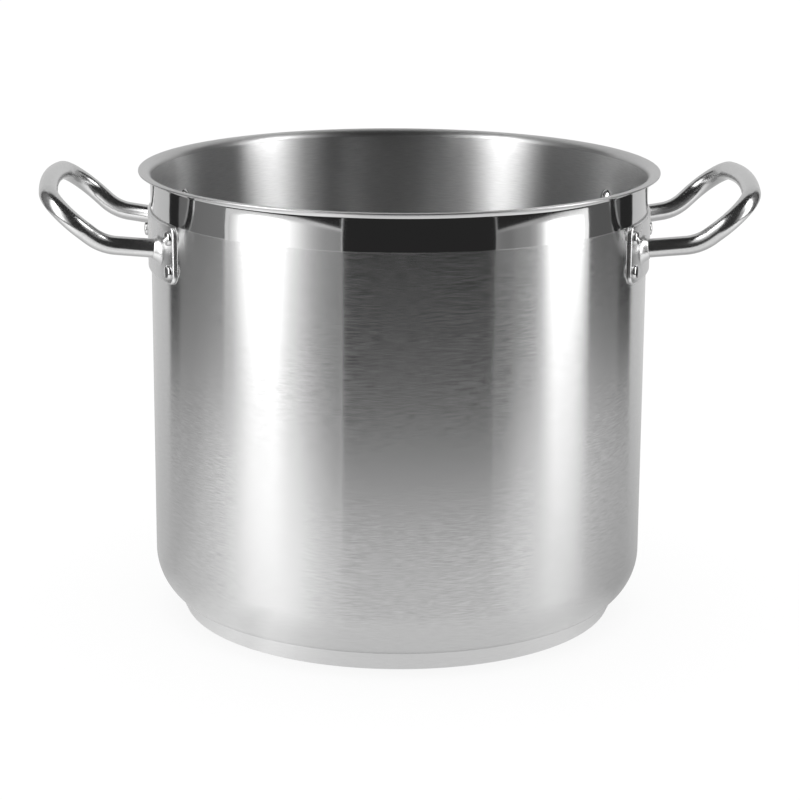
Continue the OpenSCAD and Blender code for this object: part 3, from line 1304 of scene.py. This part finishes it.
@dataclass
class Studio:
    """White floor, light panels, cloths and a dim room.

    Attributes:
        floor_reach: Half width of the floor.
        floor_white: Share of the floor that is plain white to the eye.
        floor_tone: Brightness of the floor's diffuse share.
        room: Brightness of the dim room round the pot.
        sky_strength: Strength of the soft light that falls on the floor.
        sky_spread: Degrees over which that light spreads.
        left: Plan position of the softbox and the cloth on the left.
        right: Plan position of the softbox and the cloth on the right.
        outside: Distance by which frames and posts stand outside the softboxes.
    """

    floor_reach: float = 8.0
    floor_white: float = 0.88
    floor_tone: float = 0.8
    room: float = 0.03
    sky_strength: float = 4.6
    sky_spread: float = 100
    left: float = -0.95
    right: float = 1.0
    outside: float = 5 * MM

    def panels(self) -> list[Panel]:
        """The panels round the pot.

        Returns:
            Softboxes on both sides, with frames and posts, cloths behind them and a white backdrop.
        """
        left, right = self.left, self.right
        far_left, far_right = left - self.outside, right + self.outside
        return [
            Panel(
                "left_softbox", (left, -0.19), (left, -1.9), (0.07, -0.19), 1.6,
                [
                    (0, 0.8), (0.043, 1.45), (0.077, 2.3), (0.11, 3.0), (0.15, 3.5), (0.27, 3.5),
                    (0.334, 2.3), (0.378, 1.7), (0.426, 1.4), (0.477, 1.1), (0.533, 0.83), (0.595, 0.65),
                    (0.663, 0.52), (0.741, 0.44), (0.932, 0.38), (1, 0.36),
                ],
                boost=2.0,
            ),
            Panel(
                "left_frame", (far_left, -0.155), (far_left, -1.95), (0.04, -0.23), 1.65,
                [(0, 0.97), (1, 0.8)],
            ),
            Panel(
                "right_softbox", (right, -0.1), (right, -1.16), (0.07, -0.02), 1.6,
                [
                    (0, 2.2), (0.06, 3.1), (0.13, 3.4), (0.29, 3.4), (0.367, 2.0), (0.43, 0.95),
                    (0.494, 0.56), (0.561, 0.41), (0.708, 0.33), (0.8, 0.26), (0.9, 0.26), (1, 0.3),
                ],
                boost=2.0,
            ),
            Panel(
                "right_frame", (far_right, -0.05), (far_right, -1.19), (0.045, -0.045), 1.65,
                [(0, 1.6), (0.1, 1.2), (0.4, 0.6), (1, 0.36)],
            ),
            Panel("left_post", (far_left, -1.9), (far_left, -1.95), (-0.6, -0.6), 1.65, [(0, 0.8)]),
            Panel("right_post", (far_right, -1.16), (far_right, -1.19), (-0.5, -0.5), 1.65, [(0, 0.36)]),
            Panel("left_cloth", (left, 0.43), (left, -0.15), (-0.3, -0.3), 1.6, [(0, 0.19), (1, 0.27)]),
            Panel("right_cloth", (right, 0.4), (right, -0.045), (-0.3, -0.3), 1.6, [(0, 0.14)]),
            Panel("white_backdrop", (1.6, 1.3), (-1.65, 1.3), (-0.3, -0.3), 3.0, [(0, 0.72)]),
        ]

    def paper(self) -> bpy.types.Material:
        """White to the eye, with a diffuse share that keeps the pot's shadow.

        Returns:
            The floor's material.
        """
        material, board = blank_material("white_floor")
        rays = board.node("LightPath").outputs
        seen = board.math("MAXIMUM", rays["Is Camera Ray"], rays["Is Glossy Ray"])
        seen = board.math("MAXIMUM", seen, rays["Is Transmission Ray"])
        tone = self.floor_tone
        matt = board.feed(board.node("BsdfDiffuse"), Color=(tone, tone, tone, 1.0))
        white = board.feed(board.node("Emission"), Color=WHITE, Strength=1.0)
        share = board.math("MULTIPLY", seen, self.floor_white)
        mixed = board.feed(board.node("MixShader"), in0=share, in1=matt.outputs[0], in2=white.outputs[0])
        board.surface(mixed)
        return material

    def floor(self) -> None:
        """White floor, in whose place the table top shows in the steel."""
        reach = self.floor_reach
        corners = [(-reach, -reach, 0), (reach, -reach, 0), (reach, reach, 0), (-reach, reach, 0)]
        mesh = bpy.data.meshes.new("floor")
        mesh.from_pydata(corners, [], [(0, 1, 2, 3)])
        mesh.materials.append(self.paper())
        floor = linked("floor", mesh)
        floor.visible_glossy = False

    @staticmethod
    def table() -> TableTop:
        """The table top, with painted pools of light where the softboxes shine on it and painted shadow of
        the pot at its foot.

        Returns:
            The table top.
        """
        # Each mark: bearing, reach, brightness at the foot (painted shadow of the pot where low),
        # brightness at the edge (painted pools of softbox light).
        return TableTop(
            [
                (-178, 0.78, 0.72, 1.12), (-165, 0.75, 0.78, 1.6), (-152, 0.7, 0.98, 1.85),
                (-142, 0.7, 1.12, 1.6), (-134, 0.69, 1.08, 1.5), (-128, 0.66, 1.24, 1.3),
                (-122, 0.62, 1.15, 1.18), (-117, 0.58, 1.02, 1.1), (-111, 0.56, 0.92, 1.08),
                (-105, 0.56, 0.87, 1.08), (-90, 0.56, 0.85, 1.08), (-60, 0.56, 0.86, 1.08),
                (-54, 0.56, 0.9, 1.08), (-48, 0.6, 0.92, 1.2), (-40, 0.7, 0.93, 1.3),
                (-30, 0.8, 0.82, 1.35), (-22, 0.85, 0.71, 1.75), (-12, 0.82, 0.54, 1.6),
                (-3, 0.8, 0.51, 1.25), (9, 0.8, 0.5, 0.95), (26, 0.81, 0.54, 0.7),
                (90, 0.85, 0.6, 0.75), (160, 0.8, 0.64, 0.68), (168, 0.8, 0.61, 0.72),
                (176, 0.79, 0.66, 0.88),
            ]
        )

    def sky(self) -> None:
        """Soft light from above that falls on the floor and doesn't show in the steel."""
        data = bpy.data.lights.new("sky", "SUN")
        data.energy = self.sky_strength
        data.angle = math.radians(self.sky_spread)
        linked("sky", data).visible_glossy = False

    def world(self) -> None:
        """Dim even room, white past the floor's edge to the eye."""
        world = bpy.data.worlds.new("room")
        bpy.context.scene.world = world
        world.use_nodes = True
        board = NodeBoard(world.node_tree)
        rays = board.node("LightPath").outputs
        seen = board.math("MAXIMUM", rays["Is Camera Ray"], rays["Is Transmission Ray"])
        level = board.math("MAXIMUM", seen, self.room)
        board.surface(board.feed(board.node("Background"), Color=WHITE, Strength=level), "OutputWorld")

    def build(self) -> None:
        """Sets up the whole studio."""
        self.floor()
        self.table().build()
        for panel in self.panels():
            panel.build()
        self.sky()
        self.world()
        bpy.context.scene.view_settings.view_transform = "Standard"


def dress_core() -> None:
    """Gives the hidden aluminium core its finish."""
    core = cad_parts["base_core"]
    core.data.materials.clear()
    core.data.materials.append(ROLLED_ALUMINIUM.material())
    LOG.info("base_core keeps its CAD mesh")


def main() -> None:
    """Builds the camera, the studio and every piece of the pot."""
    logging.basicConfig(level=logging.INFO, format="%(name)s: %(message)s")
    PhotoCamera().build()
    Studio().build()
    body = PotBody()
    body.build()
    BaseCap().build()
    dress_core()
    for side in Side:
        handle = HandleTube(side, body.outer_radius)
        bracket = Bracket(handle)
        bracket.build()
        handle.build()
        for node in sorted(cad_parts):
            if node.startswith(f"{side.word}_rivet"):
                Rivet(node, body, bracket.plate).build()


if __name__ == "__main__":
    main()
